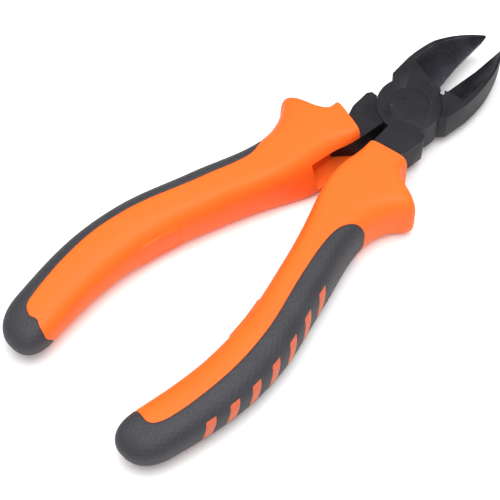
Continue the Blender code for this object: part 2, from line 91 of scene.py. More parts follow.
# Lean of the side towards the other handle, at the land's height
GRIP_LEAN = ((15.0, 0.0), (19.0, 0.2), (26.0, 1.9), (35.0, 2.0), (46.0, 0.3), (60.0, 0.0), (129.0, 0.0))
LAND_SHARPNESS = 24
GRIP_ROUNDNESS, MOUTH_ROUNDNESS, MOUTH_LENGTH, INNER_LENGTH = 2.8, 5.0, 16.0, 34.0
MOUTH_SLANT, MOUTH_SLANT_LENGTH = 2.6, 14.0
END_ROUNDING, END_ROUNDNESS = 10.5, 2.4

# Border of the soft panel: (distance back from the pivot, distance in from the grip's outer edge)
WIDE_BORDER = (
    (36.0, -6.0), (38.6, 0.8), (41.5, 3.8), (45.0, 5.6), (50.0, 6.7), (58.0, 7.5), (78.0, 7.6),
    (98.0, 7.4), (112.0, 6.9), (117.5, 7.4), (119.6, 9.2), (119.2, 13.0), (118.8, 17.0), (118.6, 24.0),
)
NARROW_BORDER = (
    (36.0, -6.0), (38.6, 0.5), (41.0, 2.4), (46.0, 4.4), (58.0, 5.0), (72.0, 4.8), (90.0, 4.2),
    (106.0, 4.4), (116.0, 4.8), (119.6, 5.6), (121.0, 8.0), (120.4, 10.4), (121.4, 13.5), (122.0, 24.0),
)
BORDER_BLEND = 3.0  # half the height over which the two borders run into each other, round the sides
BORDER_STEPS = 8

# Room for the tang inside a sleeve: its plan, and half its height
TANG_ROOM = (
    (-3.0, 6.4), (-4.2, 7.2), (-4.4, 10.5), (-5.7, 11.3), (-11.6, 10.9), (-16.0, 9.1), (-27.3, 15.5),
    (-27.3, 9.6), (-17.0, 1.27), (-5.5, 0.3),
)
TANG_ROOM_HALF_HEIGHT = 5.1
CHANNEL_END, CHANNEL_DEPTH = 34.0, 6.8
BAR_ROOM_WIDTH, BAR_ROOM_HEIGHT, BAR_ROOM_END = 7.0, 6.6, 113.3

# Jaws: cutting edge and rim of the hollow, as in the levers
HALF_OPENING = math.radians(4.75)
CUT_OFFSET = -0.4
JAW_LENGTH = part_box("front_lever")[1].x / MM
EDGE_ROOT = 13.0
EDGE_HEIGHTS = (2.4, 5.0)
JAW_BACK = ((11.6, 11.3), (21.7, 11.4), (29.9, 7.9))
TIP_WIDTH = 0.4
TAPER_START, TIP_FRONT_DROP = 21.0, 3.7
RIDGE_X = (10.0, 12.3)
RIDGE_BELOW_EDGE = 0.6  # the ridge's foot lies this far past the line of the edge
ROLL_STEEPNESS = 1.12  # how much steeper than the bevel the hollow climbs before it rolls over

# Plain moulded frame on the sleeve's inner side, and the row of bars inlaid in the front panel
FRAME_CENTRE, FRAME_HALF = (-79.8, MIDDLE), (6.4, 4.4)
FRAME_CORNER, FRAME_LINE, FRAME_EDGE = 1.6, 0.5, 0.4
INLAY_CENTRES = (61, 108)
INLAY_COUNT, INLAY_WIDTH, INLAY_SLANT = 7, 3.5, 2.2
INLAY_TURN, INLAY_SPAN = math.radians(-9), math.radians(56)  # angle of its middle, and its reach round

PANEL_START = 35.0
HATCH_RADIUS = 8.5  # turns an angle round the section into mm of hatch


class SteelSettings(bpy.types.PropertyGroup):
    """Sizes and colours of the two levers and the rivet"""

    hollow: FloatProperty(
        name="Hollow", description="Depth of the grinding wheel's hollow below a flat bevel, as a share",
        default=0.34, min=0.0, max=0.6,
    )
    roll_over: FloatProperty(
        name="Roll over", description="How gently the hollow turns into the front face, as a share",
        default=0.06, min=0.01, max=0.2,
    )
    land: FloatProperty(
        name="Edge land", description="Height of the honed land along each cutting edge",
        default=0.08 * MM, unit="LENGTH",
    )
    rim_width: FloatProperty(
        name="Rim", description="Flat band left along the jaw's outer edge", default=1.5 * MM, unit="LENGTH",
    )
    edge_break: FloatProperty(
        name="Edge break", description="Width of the small bevel on the forging's edges",
        default=0.22 * MM, unit="LENGTH",
    )
    rivet_chamfer: FloatProperty(
        name="Rivet chamfer", description="Chamfer round each head of the rivet",
        default=0.10 * MM, unit="LENGTH",
    )
    colour: StringProperty(name="Steel", description="Black phosphated steel, sRGB hex", default="#27262b")
    colour_dark: StringProperty(name="Oil film", description="Darker, oiled patches", default="#1a191d")
    colour_ground: StringProperty(name="Hollow", description="Ground and phosphated", default="#302f38")
    # The worn colour is partly real wear of the phosphate and partly a painted highlight on the edge breaks,
    # the rivet's chamfers and the band along each hollow's ridge and rim
    colour_edge_wear_and_highlight: StringProperty(name="Edge wear and painted highlight", description="Edge breaks", default="#5a585e")


class GripSettings(bpy.types.PropertyGroup):
    """Sizes and colours of the moulded grips"""

    stations: IntProperty(name="Stations", description="Sections along a grip", default=330, min=60)
    section_points: IntProperty(name="Section points", description="Points round it", default=150, min=48)
    mouth_fillet: FloatProperty(
        name="Mouth fillet", description="Radius round the sleeve's mouth", default=0.5 * MM, unit="LENGTH",
    )
    panel_depth: FloatProperty(
        name="Panel depth", description="Thickness of the soft panel", default=1.5 * MM, unit="LENGTH",
    )
    seam_width: FloatProperty(
        name="Seam width", description="Width of the dip on each side of the seam",
        default=0.45 * MM, unit="LENGTH",
    )
    seam_depth: FloatProperty(
        name="Seam depth", description="Depth of the dip at the seam", default=0.16 * MM, unit="LENGTH",
    )
    frame_height: FloatProperty(
        name="Frame height", description="How far the plain moulded frame stands out of the sleeve",
        default=0.34 * MM, unit="LENGTH",
    )
    hatch_pitch: FloatProperty(
        name="Hatch pitch", description="Spacing of the panel's fine diamond hatch",
        default=1.5 * MM, unit="LENGTH",
    )
    orange: StringProperty(name="Sleeve", description="Polypropylene, sRGB hex", default="#f86b22")
    grey: StringProperty(name="Panel", description="Soft elastomer, sRGB hex", default="#333237")
    mark: StringProperty(name="Inlay", description="Inlaid bars, sRGB hex", default="#cf5c31")


class StageSettings(bpy.types.PropertyGroup):
    """Floor, light and camera"""

    azimuth: FloatProperty(name="Azimuth", description="0 looks along +Y", default=-44.2)
    elevation: FloatProperty(name="Elevation", description="Above the horizon", default=59.9)
    roll: FloatProperty(name="Roll", description="Turn about the line of sight", default=0.26)
    distance: FloatProperty(
        name="Distance", description="From the lens to the point it aims at",
        default=613.5 * MM, unit="LENGTH",
    )
    lens: FloatProperty(name="Lens", description="Focal length on a 36 mm sensor, in mm", default=156.5)
    aim: FloatVectorProperty(
        name="Aim", description="Point in the middle of the picture", size=3,
        default=(-55.1 * MM, 7.0 * MM, -14.5 * MM), unit="LENGTH",
    )
    key_power: FloatProperty(name="Softbox", description="In watts", default=10.5)
    world_strength: FloatProperty(name="Room light", description="Strength of the pale room", default=0.5)
    floor: StringProperty(name="Floor", description="Plain floor, sRGB hex", default="#fbfbfb")


# ---- Curves and surfaces ------------------------------------------------------------------------


def curve_through(points, at):
    """Smooth curve through (distance, value) pairs: cubic Hermite spans.

    The slope at a pair is the mean of the rises on its two sides.
    """
    where, value = np.array(points).T
    rise = np.diff(value) / np.diff(where)
    slope = np.concatenate([rise[:1], (rise[:-1] + rise[1:]) / 2, rise[-1:]])
    at = np.clip(at, where[0], where[-1])
    i = np.clip(np.searchsorted(where, at, side="right") - 1, 0, len(rise) - 1)
    length = where[i + 1] - where[i]
    t = (at - where[i]) / length
    start = (1 + 2 * t) * (1 - t) ** 2 * value[i] + t * (1 - t) ** 2 * length * slope[i]
    end = t**2 * (3 - 2 * t) * value[i + 1] + t**2 * (t - 1) * length * slope[i + 1]
    return start + end


def smooth_line(points, steps):
    """Smooth open line through points, by Catmull-Rom's rule: each span is a cubic in t."""
    known = np.array(points)
    ends = np.concatenate([[2 * known[0] - known[1]], known, [2 * known[-1] - known[-2]]])
    t = np.linspace(0, 1, steps, endpoint=False)[None, :, None]
    before, start, end, after = (ends[k : len(known) - 1 + k, None] for k in range(4))
    spans = start + t * (end - before) / 2 + t**2 * (2 * before - 5 * start + 4 * end - after) / 2
    spans = spans + t**3 * (3 * (start - end) + after - before) / 2
    return np.concatenate([spans.reshape(-1, 2), known[-1:]])


def smooth_step(value):
    """0 up to 0, 1 from 1 on, and 3t^2 - 2t^3 between."""
    t = np.clip(value, 0, 1)
    return t * t * (3 - 2 * t)


def grip_point(distance, angle, inset=0.0):
    """Point on a grip, at a distance back from the pivot and an angle round the section from its outer side.

    The section is a superellipse: (cos, sin) divided by (|cos|^p + |sin|^p)^(1/p), stretched to half the
    width between the outer and inner outline and half the thickness. Its top is pressed flat at the land,
    and both halves shrink by (1 - s^2.4)^(1/2.4) as s runs from 0 to 1 over the rounded end. The inner
    side also shifts outwards in step with its height, by the lean.
    """
    outer, inner = curve_through(GRIP_OUTER, distance), curve_through(GRIP_INNER, distance)
    into_end = np.clip((distance - (GRIP_END - END_ROUNDING)) / END_ROUNDING, 0, 1)
    shrink = (1 - into_end**END_ROUNDNESS) ** (1 / END_ROUNDNESS)
    length = np.where(np.cos(angle) < 0, INNER_LENGTH, MOUTH_LENGTH)
    squareness = np.clip(1 - (distance - GRIP_START) / length, 0, 1)
    power = GRIP_ROUNDNESS + (MOUTH_ROUNDNESS - GRIP_ROUNDNESS) * squareness
    size = (np.abs(np.cos(angle)) ** power + np.abs(np.sin(angle)) ** power) ** (1 / power)
    across, up = np.cos(angle) / size, np.sin(angle) / size
    z = (curve_through(GRIP_HALF_THICKNESS, distance) - inset) * shrink * up
    z = z / (1 + np.abs(z / GRIP_LAND) ** LAND_SHARPNESS) ** (1 / LAND_SHARPNESS)
    y = (outer + inner) / 2 + ((outer - inner) / 2 - inset) * shrink * across
    y = y + curve_through(GRIP_LEAN, distance) * z / GRIP_LAND * (1 - across) / 2
    slant = MOUTH_SLANT * np.clip(1 - (distance - GRIP_START) / MOUTH_SLANT_LENGTH, 0, 1)
    x = -(distance + slant * (1 - across) / 2)
    return np.stack([x, y, z + MIDDLE], axis=-1)


def grip_normal(distance, angle):
    """Unit normal of a grip: the cross product of its two slopes, from points a small step apart."""
    step = 0.02
    near_end = np.minimum(distance, GRIP_END - 0.05)
    along = grip_point(near_end + step, angle) - grip_point(near_end - step, angle)
    round_it = grip_point(near_end, angle + step / 8) - grip_point(near_end, angle - step / 8)
    normal = np.cross(along, round_it)
    length = np.linalg.norm(normal, axis=-1, keepdims=True)
    return normal / np.maximum(length, 1e-9)


def side_of_line(points, line):
    """Signed distance in plan from a line, above 0 on the side away from the handles' gap."""
    start, along = line[:-1], np.diff(line, axis=0)
    offset = points[:, None] - start[None]
    share = np.clip((offset * along).sum(-1) / (along**2).sum(-1), 0, 1)
    away = offset - share[..., None] * along
    nearest = (away**2).sum(-1).argmin(1)
    row = np.arange(len(points))
    cross = along[nearest, 0] * offset[row, nearest, 1] - along[nearest, 1] * offset[row, nearest, 0]
    return -np.sign(cross) * np.linalg.norm(away[row, nearest], axis=-1)


def border_line(border):
    """Plan of a border: its smooth line, measured in from the grip's outer edge."""
    distance, depth = smooth_line(border, BORDER_STEPS).T
    return np.stack([-distance, curve_through(GRIP_OUTER, distance) - depth], axis=1)


def panel_side(points):
    """Signed distance into the soft panel, with the wide border below the middle and the narrow one above."""
    flat = points.reshape(-1, 3)
    weight = smooth_step((flat[:, 2] - MIDDLE) / BORDER_BLEND / 2 + 0.5)
    wide = side_of_line(flat[:, :2], border_line(WIDE_BORDER))
    narrow = side_of_line(flat[:, :2], border_line(NARROW_BORDER))
    return (wide + weight * (narrow - wide)).reshape(points.shape[:-1])


def turned_over(points):
    """Half a turn about the line along X at the middle of the head's thickness."""
    return points * (1, -1, -1) + (0, 0, 2 * MIDDLE)


# ---- Meshes -------------------------------------------------------------------------------------


def mesh_object(name, points, faces, uv=None):
    """Object at the origin from points in mm and lists of corner numbers, with a uv pair for each point."""
    mesh = bpy.data.meshes.new(name)
    mesh.from_pydata((points * MM).tolist(), [], [face.tolist() for face in faces])
    mesh.shade_smooth()
    if uv is not None:
        corner = np.empty(len(mesh.loops), np.int32)
        mesh.loops.foreach_get("vertex_index", corner)
        mesh.uv_layers.new(name="surface_mm").data.foreach_set("uv", uv[corner].ravel().astype(np.float32))
    obj = bpy.data.objects.new(name, mesh)
    bpy.context.scene.collection.objects.link(obj)
    return obj


def tube_faces(rings, around, first=0):
    """Quads between neighbouring rings of points, closed round the section."""
    i, j = np.meshgrid(np.arange(rings - 1), np.arange(around), indexing="ij")
    k = (j + 1) % around
    quads = np.stack([i * around + j, (i + 1) * around + j, (i + 1) * around + k, i * around + k], -1)
    return first + quads.reshape(-1, 4)


def grid_faces(rows, columns):
    """Quads between the points of an open grid."""
    i, j = np.indices((rows - 1, columns - 1))
    near, far = i * columns + j, (i + 1) * columns + j
    return np.stack([near, far, far + 1, near + 1], -1).reshape(-1, 4)


def pole_faces(rings, around):
    """Triangles from the last ring to the pole, the point that follows all the rings."""
    last = (rings - 1) * around + np.arange(around)
    return np.column_stack([last, np.full(around, rings * around), np.roll(last, -1)])


def prism(name, plan, low, high):
    """Upright solid with flat ends, for cutting. The plan runs anticlockwise or clockwise."""
    count = len(plan)
    points = np.concatenate([np.column_stack([plan, np.full(count, z)]) for z in (low, high)])
    ring = np.arange(count)
    sides = np.column_stack([ring, np.roll(ring, -1), np.roll(ring, -1) + count, ring + count])
    obj = mesh_object(name, points, [*sides, ring[::-1], ring + count])
    outward(obj.data)
    return obj


def outward(mesh):
    """Merges doubles and turns every face outwards."""
    bm = bmesh.new()
    bm.from_mesh(mesh)
    bmesh.ops.remove_doubles(bm, verts=bm.verts, dist=0.001 * MM)
    bmesh.ops.recalc_face_normals(bm, faces=bm.faces)
    bm.to_mesh(mesh)
    bm.free()


def cut(obj, cutter):
    """Takes the cutter out of the object for good, and removes the cutter."""
    step = obj.modifiers.new("cut", "BOOLEAN")
    step.operation, step.solver, step.object = "DIFFERENCE", "EXACT", cutter
    applied(obj)
    bpy.data.objects.remove(cutter, do_unlink=True)


def applied(obj):
    """Makes the object's modifiers part of its mesh."""
    graph = bpy.context.evaluated_depsgraph_get()
    mesh = bpy.data.meshes.new_from_object(obj.evaluated_get(graph))
    obj.modifiers.clear()
    obj.data = mesh


def turned_copy(obj, name):
    """The same piece for the other handle, turned over about the head's middle."""
    other = obj.copy()
    other.data = obj.data.copy()
    other.name = name
    bpy.context.scene.collection.objects.link(other)
    other.data.transform(Matrix.Translation((0, 0, HEAD * MM)) @ Matrix.Rotation(math.pi, 4, "X"))
    return other


def smooth_below(obj, degrees):
    obj.data.shade_smooth()
    obj.data.set_sharp_from_angle(angle=math.radians(degrees))


def finished(obj, body, slot, node, *materials):
    """Gives the piece its body and any materials, and hides its CAD node; the slot is not used."""
    obj.data.name = obj.name
    for each in materials:
        obj.data.materials.append(each)
    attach(obj, body)
    if node:
        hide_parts(node)


# ---- Materials ----------------------------------------------------------------------------------


def linear(colour):
    """sRGB hex to linear RGBA."""
    channels = (int(colour[k : k + 2], 16) / 255 for k in (1, 3, 5))
    return (*(c / 12.92 if c <= 0.04045 else ((c + 0.055) / 1.055) ** 2.4 for c in channels), 1.0)


def add_node(tree, kind, inputs=None, **settings):
    """Adds a node, sets its settings, and sets or links each named input."""
    node = tree.nodes.new(kind)
    for name, value in settings.items():
        setattr(node, name, value)
    for name, value in (inputs or {}).items():
        if isinstance(value, bpy.types.NodeSocket):
            tree.links.new(value, node.inputs[name])
        else:
            node.inputs[name].default_value = value
    return node


def new_material(name):
    """An empty node material, its node tree and its Principled shader."""
    made = bpy.data.materials.new(name)
    made.use_nodes = True
    return made, made.node_tree, made.node_tree.nodes["Principled BSDF"]


def per_mm(period):
    """Noise scale on Object coordinates in metres for features this many mm across."""
    return 1 / (period * MM)


def wave_per_mm(period):
    """Wave scale on coordinates in mm for one wave in this many mm."""
    return math.tau / 20 / period


def phosphated_steel(name, light, dark, roughness, stretch=(1.0, 1.0, 1.0)):
    """Manganese-phosphated tool steel, oiled: nearly black, with a fine crystal grain and dull sheen.

    The grain is drawn out along the axes whose stretch is under 1, as the marks of a grinding wheel.
    """
    made, tree, shader = new_material(name)
    place = add_node(tree, "ShaderNodeTexCoord").outputs["Object"]
    drawn = add_node(tree, "ShaderNodeMapping", {"Vector": place, "Scale": stretch}).outputs["Vector"]
    # Oil stands in soft patches a few mm across, darker than the dry crystals
    film = add_node(tree, "ShaderNodeTexNoise", {"Vector": place, "Scale": per_mm(5.5), "Detail": 4.0})
    grain = add_node(
        tree, "ShaderNodeTexNoise", {"Vector": drawn, "Scale": per_mm(0.45), "Detail": 3.0, "Roughness": 0.7}
    )
    mixed = add_node(
        tree, "ShaderNodeMath", {0: film.outputs["Fac"], 1: grain.outputs["Fac"]}, operation="MULTIPLY"
    )
    shade = add_node(
        tree, "ShaderNodeMapRange",
        {"Value": mixed.outputs["Value"], "From Min": 0.13, "From Max": 0.36},
    )
    colour = add_node(
        tree, "ShaderNodeMix", {"Factor": shade.outputs["Result"], "A": linear(dark), "B": linear(light)},
        data_type="RGBA",
    )
    # Short bright scratches from handling, each about a millimetre long
    askew = add_node(
        tree, "ShaderNodeMapping",
        {"Vector": place, "Rotation": (0, 0, math.radians(35)), "Scale": (1.0, 0.15, 1.0)},
    )
    strokes = add_node(
        tree, "ShaderNodeTexNoise", {"Vector": askew.outputs["Vector"], "Scale": per_mm(0.5), "Detail": 2.0}
    )
    scratched = add_node(
        tree, "ShaderNodeMapRange",
        {"Value": strokes.outputs["Fac"], "From Min": 0.70, "From Max": 0.80, "To Max": 0.5},
    )
    surface = add_node(
        tree, "ShaderNodeMix",
        {"Factor": scratched.outputs["Result"], "A": colour.outputs[2], "B": linear("#77757c")},
        data_type="RGBA",
    )
    tree.links.new(surface.outputs[2], shader.inputs["Base Color"])
    rough = add_node(
        tree, "ShaderNodeMapRange",
        {"Value": film.outputs["Fac"], "From Min": 0.3, "From Max": 0.7,
         "To Min": roughness - 0.06, "To Max": roughness + 0.06},
    )
    tree.links.new(rough.outputs["Result"], shader.inputs["Roughness"])
    # Phosphate crystals, drawn coarser than their real hundredths of a millimetre so that they show
    crystals = add_node(tree, "ShaderNodeTexVoronoi", {"Vector": place, "Scale": per_mm(0.35)})
    height = add_node(
        tree, "ShaderNodeMath", {0: crystals.outputs["Distance"], 1: grain.outputs["Fac"]}, operation="ADD"
    )
    bump = add_node(
        tree, "ShaderNodeBump",
        {"Height": height.outputs["Value"], "Strength": 0.10, "Distance": 0.05 * MM},
    )
    tree.links.new(bump.outputs["Normal"], shader.inputs["Normal"])
    shader.inputs["Metallic"].default_value = 0.6
    return made


def moulded_polypropylene(name, colour):
    """Injection-moulded polypropylene: satin, a little translucent, with a fine spark-eroded texture."""
    made, tree, shader = new_material(name)
    place = add_node(tree, "ShaderNodeTexCoord").outputs["Object"]
    clouds = add_node(tree, "ShaderNodeTexNoise", {"Vector": place, "Scale": per_mm(14.0), "Detail": 3.0})
    level = add_node(
        tree, "ShaderNodeMapRange",
        {"Value": clouds.outputs["Fac"], "From Min": 0.3, "From Max": 0.7, "To Min": 0.96, "To Max": 1.04},
    )
    tint = add_node(
        tree, "ShaderNodeHueSaturation", {"Color": linear(colour), "Value": level.outputs["Result"]}
    )
    tree.links.new(tint.outputs["Color"], shader.inputs["Base Color"])
    # Handled plastic is a little glossier in patches
    rough = add_node(
        tree, "ShaderNodeMapRange",
        {"Value": clouds.outputs["Fac"], "From Min": 0.25, "From Max": 0.75, "To Min": 0.46, "To Max": 0.56},
    )
    tree.links.new(rough.outputs["Result"], shader.inputs["Roughness"])
    erosion = add_node(
        tree, "ShaderNodeTexNoise", {"Vector": place, "Scale": per_mm(0.5), "Detail": 2.0}
    )
    bump = add_node(
        tree, "ShaderNodeBump",
        {"Height": erosion.outputs["Fac"], "Strength": 0.12, "Distance": 0.05 * MM},
    )
    tree.links.new(bump.outputs["Normal"], shader.inputs["Normal"])
    shader.inputs["Subsurface Weight"].default_value = 0.08
    shader.inputs["Subsurface Radius"].default_value = (1.0, 0.35, 0.15)
    shader.inputs["Subsurface Scale"].default_value = 1.5 * MM
    shader.inputs["IOR"].default_value = 1.49
    shader.inputs["Specular IOR Level"].default_value = 0.2
    return made


def soft_elastomer(name, colour, pitch):
    """Thermoplastic elastomer over the sleeve: matt and grippy, with a fine moulded diamond hatch."""
    made, tree, shader = new_material(name)
    place = add_node(tree, "ShaderNodeTexCoord").outputs["Object"]
    surface = add_node(tree, "ShaderNodeUVMap", uv_map="surface_mm").outputs["UV"]
    lines = []
    for turn in (32, -32):
        turned = add_node(
            tree, "ShaderNodeMapping", {"Vector": surface, "Rotation": (0, 0, math.radians(turn))}
        )
        wave = add_node(
            tree, "ShaderNodeTexWave",
            {"Vector": turned.outputs["Vector"], "Scale": wave_per_mm(pitch), "Distortion": 0.0},
            wave_type="BANDS", bands_direction="Y", wave_profile="SIN",
        )
        ridge = add_node(tree, "ShaderNodeMapRange", {"Value": wave.outputs["Fac"], "From Min": 0.66})
        lines.append(ridge.outputs["Result"])
    hatch = add_node(tree, "ShaderNodeMath", {0: lines[0], 1: lines[1]}, operation="MAXIMUM")
    clouds = add_node(tree, "ShaderNodeTexNoise", {"Vector": place, "Scale": per_mm(9.0), "Detail": 5.0})
    dust = add_node(tree, "ShaderNodeTexNoise", {"Vector": place, "Scale": per_mm(0.6), "Detail": 3.0})
    level = add_node(
        tree, "ShaderNodeMapRange",
        {"Value": clouds.outputs["Fac"], "From Min": 0.3, "From Max": 0.7, "To Min": 0.88, "To Max": 1.12},
    )
    # Painted shade: the hatch's ridges are painted lighter and its grooves darker
    painted_hatch_shade = add_node(
        tree, "ShaderNodeMapRange", {"Value": hatch.outputs["Value"], "To Min": 0.94, "To Max": 1.10}
    )
    value = add_node(
        tree, "ShaderNodeMath", {0: level.outputs["Result"], 1: painted_hatch_shade.outputs["Result"]}, operation="MULTIPLY"
    )
    tint = add_node(
        tree, "ShaderNodeHueSaturation", {"Color": linear(colour), "Value": value.outputs["Value"]}
    )
    tree.links.new(tint.outputs["Color"], shader.inputs["Base Color"])
    rough = add_node(
        tree, "ShaderNodeMapRange",
        {"Value": dust.outputs["Fac"], "From Min": 0.3, "From Max": 0.7, "To Min": 0.54, "To Max": 0.66},
    )
    tree.links.new(rough.outputs["Result"], shader.inputs["Roughness"])
    height = add_node(
        tree, "ShaderNodeMath", {0: hatch.outputs["Value"], 1: dust.outputs["Fac"]}, operation="ADD"
    )
    bump = add_node(
        tree, "ShaderNodeBump",
        {"Height": height.outputs["Value"], "Strength": 0.35, "Distance": 0.10 * MM},
    )
    tree.links.new(bump.outputs["Normal"], shader.inputs["Normal"])
    shader.inputs["IOR"].default_value = 1.5
    shader.inputs["Specular IOR Level"].default_value = 0.35
    return made


def inlaid_elastomer(name, colour):
    """Second colour of the same elastomer, shot into the panel: matt, a little dusty."""
    made, tree, shader = new_material(name)
    place = add_node(tree, "ShaderNodeTexCoord").outputs["Object"]
    dust = add_node(tree, "ShaderNodeTexNoise", {"Vector": place, "Scale": per_mm(0.8), "Detail": 4.0})
    level = add_node(
        tree, "ShaderNodeMapRange",
        {"Value": dust.outputs["Fac"], "From Min": 0.3, "From Max": 0.7, "To Min": 0.9, "To Max": 1.06},
    )
    tint = add_node(
        tree, "ShaderNodeHueSaturation", {"Color": linear(colour), "Value": level.outputs["Result"]}
    )
    tree.links.new(tint.outputs["Color"], shader.inputs["Base Color"])
    bump = add_node(
        tree, "ShaderNodeBump", {"Height": dust.outputs["Fac"], "Strength": 0.15, "Distance": 0.05 * MM}
    )
    tree.links.new(bump.outputs["Normal"], shader.inputs["Normal"])
    shader.inputs["Roughness"].default_value = 0.55
    shader.inputs["IOR"].default_value = 1.5
    return made


def painted_floor(name, colour):
    """Plain painted board: even and matt, with the slightest mottling from the roller."""
    made, tree, shader = new_material(name)
    place = add_node(tree, "ShaderNodeTexCoord").outputs["Object"]
    mottle = add_node(tree, "ShaderNodeTexNoise", {"Vector": place, "Scale": per_mm(40.0)})
    level = add_node(
        tree, "ShaderNodeMapRange", {"Value": mottle.outputs["Fac"], "To Min": 0.99, "To Max": 1.01}
    )
    tint = add_node(
        tree, "ShaderNodeHueSaturation", {"Color": linear(colour), "Value": level.outputs["Result"]}
    )
    tree.links.new(tint.outputs["Color"], shader.inputs["Base Color"])
    shader.inputs["Roughness"].default_value = 0.9
    shader.inputs["Specular IOR Level"].default_value = 0.1
    return made


# ---- Levers and rivet ---------------------------------------------------------------------------


def bezier(corners, t):
    """Cubic curve with four corners: weights (1-t)^3, 3t(1-t)^2, 3t^2(1-t) and t^3."""
    a, b, c, d = (np.array(corner) for corner in corners)
    t = t[:, None]
    return a * (1 - t) ** 3 + b * 3 * t * (1 - t) ** 2 + c * 3 * t**2 * (1 - t) + d * t**3


def edge_side(x, offset):
    """How far a cutting edge lies from the X axis, on its jaw's side: a straight line."""
    return x * math.tan(HALF_OPENING) + offset


def hollow_cutter(name, side, settings):
    """What the grinding wheel takes out of a jaw's front, from the cutting edge up to the rim.

    Each line across runs straight in plan, from the cutting edge (v = 0) to the rim (v = 1). Its height
    rises from the edge's to the front face's by s = v - 2 h v (1 - v), so it sags below a flat bevel by the
    share h, and it rolls over at the rim as the soft minimum -k log(e^(-a s / k) + e^(-1 / k)), where a is
    the roll's steepness. Round the edge's root the lines fan out from one point to the ridge.
    """
    offset = CUT_OFFSET * side
    across, fan, along = np.linspace(0, 1, 28), 16, 70
    tip = (JAW_LENGTH, edge_side(JAW_LENGTH, offset) + TIP_WIDTH)
    back = bezier((*JAW_BACK, tip), np.linspace(0, 1, 400))
    slope = np.gradient(back, axis=0)
    inward = np.stack([slope[:, 1], -slope[:, 0]], 1) / np.linalg.norm(slope, axis=1)[:, None]
    width = settings.rim_width / MM * np.linspace(1, 0.2, len(back))[:, None]
    rim = back + inward * width
    rim = rim[rim[:, 0] > RIDGE_X[1]]
    rim = rim[np.linspace(0, len(rim) - 1, along).astype(int)]
    ridge_foot = np.array([RIDGE_X[0], edge_side(RIDGE_X[0], offset) - RIDGE_BELOW_EDGE])
    ridge = ridge_foot + (rim[0] - ridge_foot) * np.linspace(0, 1, fan, endpoint=False)[:, None]
    edge_x = np.concatenate([np.full(fan, EDGE_ROOT), np.linspace(EDGE_ROOT, JAW_LENGTH, along)])
    edge = np.stack([edge_x, edge_side(edge_x, offset)], 1)
    outer = np.concatenate([ridge, rim])
    beyond = 1.5
    low = EDGE_HEIGHTS[0] + (edge_x - EDGE_ROOT) / (JAW_LENGTH - EDGE_ROOT) * np.diff(EDGE_HEIGHTS)
    low = low + settings.land / MM
    front = HEAD - TIP_FRONT_DROP * np.clip((outer[:, 0] - TAPER_START) / (JAW_LENGTH - TAPER_START), 0, 1)
    v = across[None, :]
    sag = v - 2 * settings.hollow * v * (1 - v)
    soft = settings.roll_over
    share = -soft * np.log(np.exp(-ROLL_STEEPNESS * sag / soft) + math.exp(-1 / soft))
    plan = edge[:, None] + (outer - edge)[:, None] * v[..., None]
    height = low[:, None] + (front - low)[:, None] * share
    floor = np.concatenate([plan, height[..., None]], -1)
    # One more row runs out of the jaw at the edge, and one more section runs past the tip
    off_edge = floor[:, :1] - (0, beyond, 0)
    floor = np.concatenate([off_edge, floor], 1)
    floor = np.concatenate([floor, floor[-1:] + (0.4, 0.0, 0.0)], 0)
    rows, columns = floor.shape[:2]
    top = floor.copy()
    top[..., 2] = HEAD + 2
    points = np.concatenate([floor.reshape(-1, 3), top.reshape(-1, 3)]) * (1, side, 1)
    quads = grid_faces(rows, columns)
    lift = rows * columns
    grid = np.arange(lift).reshape(rows, columns)
    rim_loop = np.concatenate([grid[0], grid[1:, -1], grid[-1, -2::-1], grid[-2:0:-1, 0]])
    ahead = np.roll(rim_loop, -1)
    walls = np.column_stack([rim_loop, ahead, ahead + lift, rim_loop + lift])
    obj = mesh_object(name, points, [*quads, *(quads[:, ::-1] + lift), *walls])
    # Slot 2 is the ground surface, and slot 1 a painted highlight: a lighter band where it meets the ridge
    # and the rim
    i, j = np.indices((rows - 1, columns - 1))
    painted_highlight_band = np.where(i < fan, j > 0.86 * columns, j > columns - 3)
    kind = np.concatenate([np.where(painted_highlight_band, 1, 2).ravel(), np.full(len(quads) + len(walls), 2)])
    obj.data.polygons.foreach_set("material_index", kind.astype(np.int32))
    outward(obj.data)
    return obj


def copy_of_node(node, name):
    """Copy of a CAD node's mesh with its doubles merged and its flat faces made whole again."""
    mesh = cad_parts[node].data.copy()
    mesh.materials.clear()
    bm = bmesh.new()
    bm.from_mesh(mesh)
    bmesh.ops.remove_doubles(bm, verts=bm.verts, dist=0.002 * MM)
    bmesh.ops.dissolve_limit(bm, angle_limit=math.radians(0.4), verts=bm.verts, edges=bm.edges)
    bm.to_mesh(mesh)
    bm.free()
    obj = bpy.data.objects.new(name, mesh)
    bpy.context.scene.collection.objects.link(obj)
    return obj


def ground_lever(node, name, side, body, settings, finishes):
    """Lever from its CAD node, with its edges broken and its jaw ground hollow.

    The finishes are those of the forging, of its edges, lighter from wear and as a painted highlight, and of
    the ground hollow.
    """
    obj = copy_of_node(node, name)
    wheel = hollow_cutter("hollow", side, settings)
    for mesh in (obj.data, wheel.data):
        for each in finishes:
            mesh.materials.append(each)
    step = obj.modifiers.new("edge_break", "BEVEL")
    step.width, step.segments, step.limit_method = settings.edge_break, 2, "ANGLE"
    step.angle_limit, step.material = math.radians(32), 1
    applied(obj)
    cut(obj, wheel)
    smooth_below(obj, 24)
    finished(obj, body, "black_steel", node)


def lathed(name, profile, sides):
    """Surface of revolution about Z: each profile point (radius, height) swept round in equal steps."""
    radius, height = np.array(profile).T
    turn = np.linspace(0, math.tau, sides, endpoint=False)
    ring = np.stack([np.cos(turn), np.sin(turn)], 1)
    level = np.broadcast_to(height[:, None, None], (len(radius), sides, 1))
    points = np.concatenate([radius[:, None, None] * ring[None], level], -1)
    last = (len(radius) - 1) * sides
    caps = [np.arange(sides)[::-1], np.arange(sides) + last]
    obj = mesh_object(name, points.reshape(-1, 3), [*tube_faces(len(radius), sides)[:, ::-1], *caps])
    outward(obj.data)
    return obj


# ---- Grips --------------------------------------------------------------------------------------


